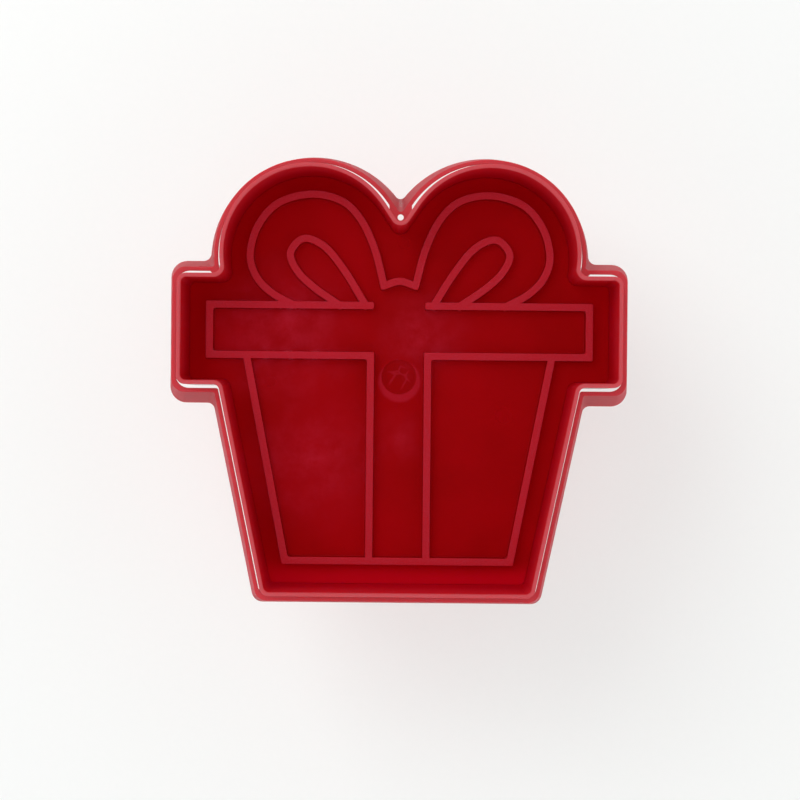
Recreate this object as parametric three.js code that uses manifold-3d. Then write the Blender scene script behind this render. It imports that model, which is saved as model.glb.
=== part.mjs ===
// Spring-return cookie press with a gift-box cutting edge and an embossing plate inside it.
// Millimetres, +Z up. The press stands on its knob with the cutting edge up, +Y is the bow.
// The origin is on the standing surface, under the middle of the cutter's outline.

import * as THREE from 'three';
import { mergeVertices } from 'three/addons/utils/BufferGeometryUtils.js';
import Module from 'manifold-3d';

const wasm = await Module();
wasm.setup();

// Outline of the cutting edge, at the outside of its rim. It is mirrored about x = 0.
const HALF_HEIGHT = 35.95; // bow top and box bottom are this far from the middle
const LID_HALF_WIDTH = 37;
const LID_TOP = 17.5;
const LID_BOTTOM = -0.95;
const BOX_HALF_WIDTH = 30; // where the box meets the lid
const BOX_TAPER = 0.212; // the box narrows by this much for each mm down
const LOBE_RADIUS = 15;
const LOBE_X = 15;
const LOBE_Y = HALF_HEIGHT - LOBE_RADIUS;
const NOTCH_SLOPE = THREE.MathUtils.degToRad(56); // the flanks between the two lobes

// How far each face stands out from the rim's outside.
const RIM_THICKNESS = 0.7;
const SLOT_WIDTH = 0.8; // open slot between the cutting wall and the skirt's top edge
const SKIRT_TOP = 1.35; // outside of the skirt's top edge
const FLARE = 3.3; // outside of the skirt's back edge
const SKIRT_WALL = 1.05; // at the back edge
const DRAFT_IN = 0.3; // the cutting wall's inside closes by this much towards the deck
const DRAFT_OUT = 0.2; // and its outside opens by this much
const PLATE_INSET = 1.3;
const PLATE_SKIRT = 1.4;

// Levels, from the standing surface.
const RIM_Z = 52;
const SKIRT_Z = 46.7;
const RIB_Z = 37;
const BACK_Z = 32;
const DECK_BACK_Z = 34;
const DECK_Z = 36;
const PLATE_Z = 40;
const PLATE_BACK_Z = 38;
const RIDGE_HEIGHT = 1.5;
const RIDGE_WIDTH = 1.4;

// Plunger, on its own axis.
const AXIS_Y = 0.6;
const TRAVEL = 11;
const GAP = 0.3; // running clearance, and the gap kept between touching pieces
const STEM_RADIUS = 4.75;
const GUIDE_LENGTH = 8;
const GUIDE_WALL = 1.65;
const TOWER_RADIUS = 15;
const TOWER_WALL = 2;
const TOWER_END_Z = 17;
const KNOB_RADIUS = 19;
const KNOB_FLOOR_Z = 3.2;
const KNOB_TOP_Z = BACK_Z - GAP - TRAVEL;
const FLUTES = 18;
const COLLAR_RADIUS = 7;
const COLLAR_END_Z = 8.2;
const CAP_RADIUS = 6.9;
const CAP_HOLE_RADIUS = 3.9;
const DISH_DEPTH = 0.8;
const BOSS_RADIUS = 3.3;
const BOSS_END_Z = 28;
const WEB_THICKNESS = 2;
const SCREW_RADIUS = 1.5;
const SCREW_LENGTH = 12;
const WASHER_THICKNESS = 0.5;
const SPRING_WIRE = 1;
const SPRING_RADIUS = 7.85;
const SPRING_COILS = 8;

const ROUND_STEPS = 48;
const CORNER_STEPS = 4;
const LOBE_STEPS = 22;

const redPlastic = (name, roughness) => new THREE.MeshStandardMaterial({
  name,
  color: 0xa8101c,
  roughness,
  metalness: 0,
});

const steel = (name, roughness) => new THREE.MeshStandardMaterial({
  name,
  color: 0xb9bcc0,
  roughness,
  metalness: 1,
});

// ---------------------------------------------------------------- solids

// Geometry with its shared corners merged and no collapsed triangles.
function weld(geometry) {
  const bare = geometry.clone();
  bare.deleteAttribute('normal');
  bare.deleteAttribute('uv');
  const merged = mergeVertices(bare, 1e-4);
  const index = merged.index.array;
  const kept = [];
  for (let i = 0; i < index.length; i += 3) {
    const [a, b, c] = [index[i], index[i + 1], index[i + 2]];
    if (a !== b && b !== c && c !== a) {
      kept.push(a, b, c);
    }
  }
  merged.setIndex(kept);
  return merged;
}

function toSolid(geometry) {
  const welded = weld(geometry);
  return new wasm.Manifold(new wasm.Mesh({
    numProp: 3,
    vertProperties: new Float32Array(welded.attributes.position.array),
    triVerts: new Uint32Array(welded.index.array),
  }));
}

function toGeometry(solid) {
  const mesh = solid.getMesh();
  const geometry = new THREE.BufferGeometry();
  geometry.setAttribute('position', new THREE.BufferAttribute(mesh.vertProperties, 3));
  geometry.setIndex(new THREE.BufferAttribute(mesh.triVerts, 1));
  geometry.computeVertexNormals();
  return geometry;
}

// A profile of [radius, z] pairs, counter-clockwise, turned about the Z axis.
function turned(profile, steps = ROUND_STEPS) {
  const points = profile.map(([radius, z]) => new THREE.Vector2(radius, z));
  return new THREE.LatheGeometry(points, steps).rotateX(Math.PI / 2);
}

function tube(inner, outer, bottom, top, steps = ROUND_STEPS) {
  return turned([[inner, bottom], [outer, bottom], [outer, top], [inner, top], [inner, bottom]], steps);
}

function rod(radius, bottom, top, steps = ROUND_STEPS) {
  return turned([[0, bottom], [radius, bottom], [radius, top], [0, top]], steps);
}

function block(width, depth, height, x, y, z) {
  return new THREE.BoxGeometry(width, depth, height).translate(x, y, z);
}

// A solid through a stack of outlines that have the same number of points.
function lofted(levels) {
  const count = levels[0].outline.length;
  const positions = [];
  for (const { outline, z } of levels) {
    for (const point of outline) {
      positions.push(point.x, point.y, z);
    }
  }
  const index = [];
  for (let level = 0; level + 1 < levels.length; level += 1) {
    for (let i = 0; i < count; i += 1) {
      const a = level * count + i;
      const b = level * count + (i + 1) % count;
      index.push(a, b, b + count, a, b + count, a + count);
    }
  }
  const topStart = (levels.length - 1) * count;
  for (const [a, b, c] of THREE.ShapeUtils.triangulateShape(levels[0].outline, [])) {
    index.push(c, b, a);
  }
  for (const [a, b, c] of THREE.ShapeUtils.triangulateShape(levels.at(-1).outline, [])) {
    index.push(topStart + a, topStart + b, topStart + c);
  }
  const geometry = new THREE.BufferGeometry();
  geometry.setAttribute('position', new THREE.Float32BufferAttribute(positions, 3));
  geometry.setIndex(index);
  return geometry;
}

// ---------------------------------------------------------------- outlines

function arcPoints(centre, radius, from, to, steps) {
  const points = [];
  for (let i = 0; i <= steps; i += 1) {
    const angle = from + (to - from) * i / steps;
    points.push(new THREE.Vector2(
      centre.x + radius * Math.cos(angle),
      centre.y + radius * Math.sin(angle),
    ));
  }
  return points;
}

// The arc that rounds a corner between two straight edges.
function roundedCorner(before, corner, after, radius) {
  const into = corner.clone().sub(before).normalize();
  const out = after.clone().sub(corner).normalize();
  const turn = Math.atan2(into.cross(out), into.dot(out));
  const side = Math.sign(turn);
  const reach = radius * Math.tan(Math.abs(turn) / 2);
  const centre = new THREE.Vector2(
    corner.x - into.x * reach - into.y * side * radius,
    corner.y - into.y * reach + into.x * side * radius,
  );
  const start = into.angle() - side * Math.PI / 2;
  return arcPoints(centre, radius, start, start + turn, CORNER_STEPS);
}

// The lobe from the lid's top edge to the notch, and both rounded corners that join it.
function lobeAndNotch(grow, corners) {
  const lobe = new THREE.Vector2(LOBE_X, LOBE_Y);
  const radius = LOBE_RADIUS + grow;
  const lidTop = LID_TOP + grow;

  const seatY = lidTop + corners.seat;
  const seat = new THREE.Vector2(
    LOBE_X + Math.sqrt((radius + corners.seat) ** 2 - (seatY - LOBE_Y) ** 2),
    seatY,
  );
  const lobeStart = Math.atan2(seat.y - lobe.y, seat.x - lobe.x);

  // A small notch meets the straight flanks, a wide one meets the two round lobes.
  const flank = NOTCH_SLOPE + Math.PI / 2;
  const flankX = LOBE_X + radius * Math.cos(flank);
  const flankY = LOBE_Y + radius * Math.sin(flank);
  const vertexY = flankY - flankX * Math.tan(NOTCH_SLOPE);
  const roundY = LOBE_Y + Math.sqrt((radius + corners.notch) ** 2 - LOBE_X ** 2);
  const flankedY = vertexY + corners.notch / Math.cos(NOTCH_SLOPE);
  const notchOnFlanks = corners.notch * Math.sin(NOTCH_SLOPE) < flankX;
  const notch = new THREE.Vector2(0, notchOnFlanks ? flankedY : roundY);
  const touch = notchOnFlanks ? flank : notch.clone().sub(lobe).angle();
  // Where the notch touches the lobe itself, the lobe's points stop just short of it.
  const lobeEnd = notchOnFlanks ? flank : touch - (touch - lobeStart) / LOBE_STEPS;

  return [
    ...arcPoints(seat, corners.seat, 1.5 * Math.PI, lobeStart + Math.PI, CORNER_STEPS),
    ...arcPoints(lobe, radius, lobeStart, lobeEnd, LOBE_STEPS).slice(1),
    ...arcPoints(notch, corners.notch, touch - Math.PI, -Math.PI / 2, CORNER_STEPS),
  ];
}

// The gift box, grown outwards from the rim's outside, with the corner radii given.
function giftOutline(grow, corners) {
  const bottom = -HALF_HEIGHT - grow;
  const underLid = LID_BOTTOM - grow;
  const overLid = LID_TOP + grow;
  const lidSide = LID_HALF_WIDTH + grow;
  const boxSide = (y) => BOX_HALF_WIDTH + BOX_TAPER * (y - LID_BOTTOM) + grow * Math.hypot(1, BOX_TAPER);

  const foot = new THREE.Vector2(boxSide(bottom), bottom);
  const armpit = new THREE.Vector2(boxSide(underLid), underLid);
  const lidLow = new THREE.Vector2(lidSide, underLid);
  const lidHigh = new THREE.Vector2(lidSide, overLid);
  const lobeSide = new THREE.Vector2(LOBE_X, overLid);

  const right = [
    ...roundedCorner(new THREE.Vector2(0, bottom), foot, armpit, corners.foot),
    ...roundedCorner(foot, armpit, lidLow, corners.armpit),
    ...roundedCorner(armpit, lidLow, lidHigh, corners.lid),
    ...roundedCorner(lidLow, lidHigh, lobeSide, corners.lid),
    ...lobeAndNotch(grow, corners),
  ];
  const left = right.slice(0, -1).reverse().map((point) => new THREE.Vector2(-point.x, point.y));
  return [...right, ...left];
}

const EDGE_CORNERS = { foot: 1.6, armpit: 1, lid: 1.5, seat: 1.2, notch: 1 };
const SLOT_CORNERS = { foot: 2, armpit: 0.4, lid: 2.2, seat: 0.5, notch: 0.6 };
const BACK_CORNERS = { foot: 2, armpit: 1.3, lid: 2.9, seat: 1.4, notch: 1 };
const INNER_CORNERS = { foot: 1, armpit: 1.6, lid: 0.9, seat: 1.8, notch: 1.7 };

const innerAt = (inset) => giftOutline(-inset, INNER_CORNERS);

// ---------------------------------------------------------------- cutter body

// A straight-sided solid of one outline.
function prism(outline, bottom, top) {
  return toSolid(lofted([{ outline, z: bottom }, { outline, z: top }]));
}

// The thin cutting wall, filled: the cavity and the space under the deck are cut out later.
function cuttingBlock() {
  return toSolid(lofted([
    { outline: giftOutline(DRAFT_OUT, EDGE_CORNERS), z: BACK_Z },
    { outline: giftOutline(0, EDGE_CORNERS), z: RIM_Z },
  ]));
}

function skirtOutside() {
  return toSolid(lofted([
    { outline: giftOutline(FLARE, BACK_CORNERS), z: BACK_Z },
    { outline: giftOutline(SKIRT_TOP, SLOT_CORNERS), z: SKIRT_Z },
  ]));
}

// The flared skirt round the cutting wall. Its top edge leaves an open slot all round the wall.
function skirt() {
  const inside = toSolid(lofted([
    { outline: giftOutline(FLARE - SKIRT_WALL, SLOT_CORNERS), z: BACK_Z },
    { outline: giftOutline(SLOT_WIDTH, SLOT_CORNERS), z: SKIRT_Z },
  ]));
  const below = prism(giftOutline(FLARE - SKIRT_WALL, SLOT_CORNERS), BACK_Z - 1, BACK_Z);
  const above = prism(giftOutline(SLOT_WIDTH, SLOT_CORNERS), SKIRT_Z, SKIRT_Z + 1);
  return skirtOutside().subtract(inside).subtract(below).subtract(above);
}

// Short bridges that close the slot at the notch and beside the lobes and hold the skirt.
function slotBridges() {
  const notchWidth = 3.8;
  const notchLow = 26;
  const notchHigh = LOBE_Y + LOBE_RADIUS;
  const height = SKIRT_Z - BACK_Z;
  const middle = (SKIRT_Z + BACK_Z) / 2;
  const notch = block(
    notchWidth, notchHigh - notchLow, height,
    0, (notchHigh + notchLow) / 2, middle,
  );
  const holeRadius = 0.45;
  const holeY = 27.35;
  const tipHole = rod(holeRadius, BACK_Z - 1, RIM_Z, 12).translate(0, holeY, 0);
  const seatLength = 4;
  const seatWidth = 1.5;
  const seatX = 31.8;
  const seatY = LID_TOP + 1.5;
  const seat = block(seatLength, seatWidth, height, 0, 0, 0)
    .rotateZ(Math.PI / 4)
    .translate(seatX, seatY, middle);
  const seatBridge = toSolid(seat);
  return toSolid(notch)
    .add(seatBridge)
    .add(seatBridge.mirror([1, 0, 0]))
    .intersect(skirtOutside())
    .subtract(toSolid(tipHole));
}

// Ribs under the deck, from the tower out to the skirt.
function deckRibs() {
  const thickness = 1.3;
  const pastSkirt = 60; // longer than any rib: the skirt's outside trims them
  const bowAngle = THREE.MathUtils.degToRad(48);
  const footAngle = THREE.MathUtils.degToRad(-58);
  const halfTurn = Math.PI;
  const angles = [
    0, bowAngle, halfTurn / 2, halfTurn - bowAngle,
    halfTurn, halfTurn - footAngle, -halfTurn / 2, footAngle,
  ];
  const bars = angles.map((angle) => {
    const bar = block(pastSkirt, thickness, RIB_Z - BACK_Z, pastSkirt / 2, 0, (RIB_Z + BACK_Z) / 2);
    return toSolid(bar.rotateZ(angle).translate(0, AXIS_Y, 0));
  });
  return bars.reduce((star, bar) => star.add(bar)).intersect(skirtOutside());
}

function cutterBody() {
  const guideRadius = STEM_RADIUS + GAP;
  const onAxis = (geometry) => toSolid(geometry.translate(0, AXIS_Y, 0));
  const tower = onAxis(tube(TOWER_RADIUS - TOWER_WALL, TOWER_RADIUS, TOWER_END_Z, DECK_BACK_Z + 1));
  const towerSpace = onAxis(rod(TOWER_RADIUS - TOWER_WALL, TOWER_END_Z - 1, DECK_BACK_Z));
  const guideOutside = onAxis(rod(guideRadius + GUIDE_WALL, DECK_BACK_Z - GUIDE_LENGTH, DECK_BACK_Z + 1));
  const guideBore = onAxis(rod(guideRadius, DECK_BACK_Z - GUIDE_LENGTH - 1, DECK_Z + 1));
  const deepest = RIM_THICKNESS + DRAFT_IN;
  const underDeck = prism(innerAt(deepest), BACK_Z - 1, DECK_BACK_Z);
  const cavity = toSolid(lofted([
    { outline: innerAt(deepest), z: DECK_Z },
    { outline: innerAt(RIM_THICKNESS), z: RIM_Z },
  ]));
  const mouth = prism(innerAt(RIM_THICKNESS), RIM_Z, RIM_Z + 1);
  const solid = cuttingBlock()
    .subtract(underDeck)
    .add(skirt())
    .add(slotBridges())
    .add(deckRibs())
    .subtract(cavity)
    .subtract(mouth)
    .subtract(towerSpace)
    .add(tower)
    .add(guideOutside)
    .subtract(guideBore);
  return toGeometry(solid);
}

// ---------------------------------------------------------------- press plate

// A raised line of the plate, along points in the plate's plane. Ends are square or rounded.
function ridge(points, roundEnds = false) {
  const half = RIDGE_WIDTH / 2;
  const last = points.length - 1;
  const sideOf = (sign) => points.map((point, i) => {
    const before = points[Math.max(i - 1, 0)];
    const after = points[Math.min(i + 1, last)];
    const along = after.clone().sub(before).normalize();
    return new THREE.Vector2(point.x - sign * along.y * half, point.y + sign * along.x * half);
  });
  const shape = new THREE.Shape([...sideOf(-1), ...sideOf(1).reverse()]);
  const sunk = 0.5;
  const extrude = (outline) => new THREE.ExtrudeGeometry(outline, {
    depth: RIDGE_HEIGHT + sunk,
    bevelEnabled: false,
  }).translate(0, 0, PLATE_Z - sunk);
  let solid = toSolid(extrude(shape));
  if (roundEnds) {
    for (const end of [points[0], points[last]]) {
      const cap = rod(half, PLATE_Z - sunk, PLATE_Z + RIDGE_HEIGHT, 12);
      solid = solid.add(toSolid(cap.translate(end.x, end.y, 0)));
    }
  }
  return solid;
}

const at = (x, y) => new THREE.Vector2(x, y);
const curveThrough = (points, steps) => new THREE.SplineCurve(points).getPoints(steps);

// Lines of the lid band, the box and the ribbon, on the right-hand side.
const LID_LINE_X = 32.55;
const LID_LINE_TOP = 12.8;
const LID_LINE_BOTTOM = 4.2;
const LID_LINE_END = 5;
const RIBBON_X = 4.9;
const BOX_LINE_TOP_X = 26.2;
const BOX_LINE_BOTTOM_X = 19.3;
const BOX_LINE_BOTTOM = -31;

function straightRidges() {
  const half = RIDGE_WIDTH / 2;
  return [
    ridge([at(LID_LINE_X + half, LID_LINE_TOP), at(LID_LINE_END, LID_LINE_TOP)], true),
    ridge([at(LID_LINE_X, LID_LINE_TOP), at(LID_LINE_X, LID_LINE_BOTTOM)]),
    ridge([at(LID_LINE_X + half, LID_LINE_BOTTOM), at(RIBBON_X - half, LID_LINE_BOTTOM)]),
    ridge([at(RIBBON_X, LID_LINE_BOTTOM), at(RIBBON_X, BOX_LINE_BOTTOM)]),
    ridge([at(BOX_LINE_TOP_X, LID_LINE_BOTTOM), at(BOX_LINE_BOTTOM_X, BOX_LINE_BOTTOM)]),
    ridge([at(BOX_LINE_BOTTOM_X + half, BOX_LINE_BOTTOM), at(0, BOX_LINE_BOTTOM)]),
  ];
}

// The bow's outer loop and the teardrop inside it, on the right-hand side.
function bowRidges() {
  const loop = curveThrough([
    at(18.2, LID_LINE_TOP), at(21.9, 14.8), at(24.6, 17.6), at(25.7, 21.4), at(24.4, 26.3),
    at(21, 30.2), at(15.5, 31.8), at(10.3, 30.8), at(6.9, 27.7), at(4.4, 22.6), at(2.7, 16.2),
  ], 32);
  const teardrop = curveThrough([
    at(10.3, LID_LINE_TOP), at(14.4, 15.6), at(17.5, 18.5), at(18.8, 21.7), at(16.5, 24.2),
    at(12.9, 22.8), at(9.4, 18.6), at(5.8, LID_LINE_TOP),
  ], 24);
  return [ridge(loop, true), ridge(teardrop, true)];
}

// The short arched line of the knot, between the two loops.
function knotRidge() {
  return ridge(curveThrough([at(-2.7, 16.2), at(0, 17), at(2.7, 16.2)], 6), true);
}

function pressPlate() {
  const plateOutline = innerAt(PLATE_INSET);
  const skirtOutline = innerAt(PLATE_INSET + PLATE_SKIRT);
  const skirtEnd = DECK_Z + GAP;
  const plate = toSolid(lofted([
    { outline: plateOutline, z: skirtEnd },
    { outline: plateOutline, z: PLATE_Z },
  ]));
  const hollow = toSolid(lofted([
    { outline: skirtOutline, z: skirtEnd - 1 },
    { outline: skirtOutline, z: PLATE_BACK_Z },
  ]));
  const boss = toSolid(rod(BOSS_RADIUS, BOSS_END_Z, PLATE_BACK_Z + 1, 32).translate(0, AXIS_Y, 0));
  const screwHole = toSolid(
    rod(SCREW_RADIUS + GAP, BOSS_END_Z - 1, PLATE_BACK_Z, 24).translate(0, AXIS_Y, 0),
  );
  let solid = plate.subtract(hollow).add(boss).subtract(screwHole).add(knotRidge());
  for (const line of [...straightRidges(), ...bowRidges()]) {
    solid = solid.add(line).add(line.mirror([1, 0, 0]));
  }
  return toGeometry(solid);
}

// ---------------------------------------------------------------- plunger

const WEB_TOP_Z = BOSS_END_Z - GAP;
const WEB_BACK_Z = WEB_TOP_Z - WEB_THICKNESS;
const WASHER_TOP_Z = WEB_BACK_Z - GAP;
const HEAD_TOP_Z = WASHER_TOP_Z - WASHER_THICKNESS - GAP;

// Hollow stem: the screw passes up its bore, and the plate's boss sits in the socket at its top.
function plungerStem() {
  const bore = 3.5;
  const socket = BOSS_RADIUS + GAP;
  const screwHole = SCREW_RADIUS + GAP;
  const bottom = KNOB_FLOOR_Z + GAP;
  const top = PLATE_BACK_Z - GAP;
  return turned([
    [bore, bottom], [STEM_RADIUS, bottom], [STEM_RADIUS, top], [socket, top], [socket, WEB_TOP_Z],
    [screwHole, WEB_TOP_Z], [screwHole, WEB_BACK_Z], [bore, WEB_BACK_Z], [bore, bottom],
  ], 32);
}

// Cup-shaped knob with a dished face, a fluted edge and a collar for the stem inside.
function plungerKnob() {
  const skirtInside = TOWER_RADIUS + 0.5;
  const edge = 1.4;
  const dishRadius = 13.5;
  const recess = CAP_RADIUS + GAP;
  const recessZ = DISH_DEPTH + 0.8 + GAP;
  const socket = STEM_RADIUS + GAP;
  const body = toSolid(turned([
    [CAP_HOLE_RADIUS, recessZ], [recess, recessZ], [recess, DISH_DEPTH], [dishRadius, 0],
    [KNOB_RADIUS - edge, 0], [KNOB_RADIUS - edge * 0.3, edge * 0.3], [KNOB_RADIUS, edge],
    [KNOB_RADIUS, KNOB_TOP_Z - edge / 2], [KNOB_RADIUS - edge / 2, KNOB_TOP_Z],
    [skirtInside, KNOB_TOP_Z], [skirtInside, KNOB_FLOOR_Z],
    [COLLAR_RADIUS, KNOB_FLOOR_Z], [COLLAR_RADIUS, COLLAR_END_Z], [socket, COLLAR_END_Z],
    [socket, KNOB_FLOOR_Z], [CAP_HOLE_RADIUS, KNOB_FLOOR_Z], [CAP_HOLE_RADIUS, recessZ],
  ]));
  const fluteRadius = 2.4;
  const fluteDepth = 1.1;
  let solid = body;
  for (let i = 0; i < FLUTES; i += 1) {
    const angle = i * 2 * Math.PI / FLUTES;
    const reach = KNOB_RADIUS + fluteRadius - fluteDepth;
    const flute = rod(fluteRadius, edge * 2, KNOB_TOP_Z - edge, 12)
      .translate(reach * Math.cos(angle), reach * Math.sin(angle), 0);
    solid = solid.subtract(toSolid(flute));
  }
  return toGeometry(solid);
}

// Cap with a hollow spigot that presses into the knob's middle hole.
function knobCap() {
  const back = DISH_DEPTH + 0.8;
  const spigot = CAP_HOLE_RADIUS - GAP;
  const spigotEnd = KNOB_FLOOR_Z - 0.2;
  const edge = 0.3;
  return turned([
    [0, DISH_DEPTH], [CAP_RADIUS - edge, DISH_DEPTH], [CAP_RADIUS, DISH_DEPTH + edge],
    [CAP_RADIUS, back], [spigot, back], [spigot, spigotEnd], [spigot - 1, spigotEnd],
    [spigot - 1, back], [0, back],
  ], 36);
}

// Pan-head self-tapping screw with a cross recess. Its head is down, towards the knob.
function plateScrew() {
  const headRadius = 2.8;
  const headHeight = 2;
  const headBottom = HEAD_TOP_Z - headHeight;
  const tip = HEAD_TOP_Z + SCREW_LENGTH;
  const point = 1.6;
  let solid = toSolid(turned([
    [0, headBottom], [headRadius * 0.7, headBottom], [headRadius, headBottom + headHeight * 0.55],
    [headRadius, HEAD_TOP_Z], [SCREW_RADIUS, HEAD_TOP_Z], [SCREW_RADIUS, tip - point], [0.3, tip],
    [0, tip],
  ], 24));
  const slotLength = 2.8;
  const slotWidth = 0.6;
  const slotDepth = 1;
  for (const [width, depth] of [[slotLength, slotWidth], [slotWidth, slotLength]]) {
    solid = solid.subtract(toSolid(block(width, depth, slotDepth * 2, 0, 0, headBottom)));
  }
  return toGeometry(solid);
}

function screwWasher() {
  return tube(SCREW_RADIUS + GAP, 3.1, WASHER_TOP_Z - WASHER_THICKNESS, WASHER_TOP_Z, 32);
}

// Compression spring with one closed coil at each end.
class SpringLine extends THREE.Curve {
  getPoint(t, target = new THREE.Vector3()) {
    const closedPitch = SPRING_WIRE + GAP;
    const bottom = KNOB_FLOOR_Z + GAP + SPRING_WIRE / 2;
    const top = DECK_BACK_Z - GAP - SPRING_WIRE / 2;
    const coil = t * SPRING_COILS;
    const openCoils = SPRING_COILS - 2;
    const openPitch = (top - bottom - 2 * closedPitch) / openCoils;
    const low = Math.min(coil, 1);
    const high = Math.max(coil - 1 - openCoils, 0);
    const middle = coil - low - high;
    const z = bottom + (low + high) * closedPitch + middle * openPitch;
    const angle = coil * 2 * Math.PI;
    return target.set(SPRING_RADIUS * Math.cos(angle), SPRING_RADIUS * Math.sin(angle), z);
  }
}

function returnSpring() {
  const section = new THREE.Shape(arcPoints(at(0, 0), SPRING_WIRE / 2, 0, 2 * Math.PI, 8).slice(0, -1));
  return weld(new THREE.ExtrudeGeometry(section, {
    extrudePath: new SpringLine(),
    steps: SPRING_COILS * 16,
    bevelEnabled: false,
  }));
}

// ---------------------------------------------------------------- assembly

function piece(name, geometry, material) {
  const mesh = new THREE.Mesh(geometry, material);
  mesh.name = name;
  return mesh;
}

const plunger = new THREE.Group();
plunger.position.y = AXIS_Y;
plunger.add(
  piece('plunger_stem', weld(plungerStem()), redPlastic('stem_plastic', 0.35)),
  piece('plunger_knob', plungerKnob(), redPlastic('knob_plastic', 0.3)),
  piece('knob_cap', weld(knobCap()), redPlastic('knob_plastic', 0.3)),
  piece('plate_screw', plateScrew(), steel('screw_steel', 0.35)),
  piece('screw_washer', weld(screwWasher()), steel('screw_steel', 0.35)),
  piece('return_spring', returnSpring(), steel('spring_steel', 0.25)),
);

const press = new THREE.Group();
press.add(
  piece('cutter_body', cutterBody(), redPlastic('cutter_plastic', 0.25)),
  piece('press_plate', pressPlate(), redPlastic('plate_plastic', 0.3)),
  plunger,
);

export default press;
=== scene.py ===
"""Looks of a spring-return cookie press with a gift-box cutting edge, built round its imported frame.

Lengths are millimetres until solid() turns them into metres. +Z is up, and +Y is the bow's side.
"""
import math

import bpy
import numpy as np
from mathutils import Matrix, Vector


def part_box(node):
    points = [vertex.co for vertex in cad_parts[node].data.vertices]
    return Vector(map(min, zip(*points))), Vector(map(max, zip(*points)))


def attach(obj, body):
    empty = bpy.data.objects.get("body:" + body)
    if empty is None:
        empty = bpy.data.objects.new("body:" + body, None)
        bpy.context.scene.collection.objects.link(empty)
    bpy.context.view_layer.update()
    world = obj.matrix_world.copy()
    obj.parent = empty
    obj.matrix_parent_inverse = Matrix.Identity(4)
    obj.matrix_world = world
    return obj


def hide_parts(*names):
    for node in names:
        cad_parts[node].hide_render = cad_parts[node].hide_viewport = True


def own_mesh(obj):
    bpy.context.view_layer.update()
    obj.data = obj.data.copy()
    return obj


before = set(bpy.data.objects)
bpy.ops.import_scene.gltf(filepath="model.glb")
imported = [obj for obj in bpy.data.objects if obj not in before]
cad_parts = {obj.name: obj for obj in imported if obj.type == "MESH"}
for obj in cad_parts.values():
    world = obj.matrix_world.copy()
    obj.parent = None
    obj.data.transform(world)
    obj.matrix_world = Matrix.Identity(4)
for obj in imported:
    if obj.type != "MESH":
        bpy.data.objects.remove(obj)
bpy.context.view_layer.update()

MM = 0.001


def box_of(node):
    """A CAD node's lowest and highest corners, in millimetres."""
    low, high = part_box(node)
    return np.array(low) / MM, np.array(high) / MM


body_low, body_high = box_of("cutter_body")
plate_low, plate_high = box_of("press_plate")
knob_low, knob_high = box_of("plunger_knob")
stem_low, stem_high = box_of("plunger_stem")
cap_low, cap_high = box_of("knob_cap")
screw_low, screw_high = box_of("plate_screw")
washer_low, washer_high = box_of("screw_washer")
spring_low, spring_high = box_of("return_spring")

# How far each face stands out from the rim's outside, or in from it.
FLARE = 3.3
FLARE_MARGIN = 0.03  # keeps the smooth arcs within the frame's faceted ones
SKIRT_TOP = 1.35
SKIRT_WALL = 1.05
SLOT_WIDTH = 0.63
RIM_THICKNESS = 0.7
DRAFT_IN = 0.3
DRAFT_OUT = 0.2
PLATE_INSET = 0.95  # a close fit inside the wall
PLATE_DRAFT = 0.12
PLATE_SKIRT = 1.4
THIN_EDGE = 0.12  # rounding of the rim's and the skirt's thin edges

# Outline of the rim's outside.
LID_HALF_WIDTH = body_high[0] - FLARE
HALF_HEIGHT = -body_low[1] - FLARE
LID_TOP = 17.5
LID_BOTTOM = -0.95
BOX_HALF_WIDTH = 30
BOX_TAPER = 0.212
LOBE_RADIUS = 15
LOBE_X = 15
LOBE_Y = HALF_HEIGHT - LOBE_RADIUS
NOTCH_SLOPE = math.radians(56)

# Levels above the standing surface.
RIM_Z = body_high[2]
SKIRT_Z = 46.7
BACK_Z = 32
RIB_Z = 37
DECK_Z = 36
DECK_BACK_Z = 34
RIDGE_HEIGHT = 1.5
RIDGE_WIDTH = 1.4
PLATE_Z = plate_high[2] - RIDGE_HEIGHT
PLATE_BACK_Z = 38
GAP = 0.3  # between pieces that move or touch
PLATE_LOW_Z = DECK_Z + GAP  # the lower edge of the plate's own skirt

# Plunger, all turned about one upright axis.
AXIS_Y = (knob_low[1] + knob_high[1]) / 2
AXIS = (0, AXIS_Y)
STEM_RADIUS = (stem_high[0] - stem_low[0]) / 2
TOWER_RADIUS = 15
TOWER_WALL = 2
GUIDE_WALL = 1.65
GUIDE_LENGTH = 8
SCREW_HOLE = 1.8
SPRING_RADIUS = 7.85
SPRING_WIRE = 1
AXIS_HOLE = 0.05  # a turned solid piece starts this far from its axis, and a rod fills it

CORNER_STEPS = 8
LOBE_STEPS = 64
ROUND_STEPS = 96


# ---------------------------------------------------------------- outlines

def arc(centre, radius, start, end, steps):
    """Points along an arc, both ends included."""
    angles = np.linspace(start, end, steps + 1)
    return np.column_stack([centre[0] + radius * np.cos(angles), centre[1] + radius * np.sin(angles)])


def unit(vector):
    return vector / np.linalg.norm(vector)


def corner_arc(before, corner, after, radius, steps=CORNER_STEPS):
    """The arc that rounds a corner between two straight edges."""
    into = unit(np.subtract(corner, before))
    out = unit(np.subtract(after, corner))
    turn = math.atan2(into[0] * out[1] - into[1] * out[0], into @ out)
    side = math.copysign(1, turn)
    across = np.array([-into[1], into[0]]) * side
    centre = corner - into * radius * math.tan(abs(turn) / 2) + across * radius
    start = math.atan2(into[1], into[0]) - side * math.pi / 2
    return arc(centre, radius, start, start + turn, steps)


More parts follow.
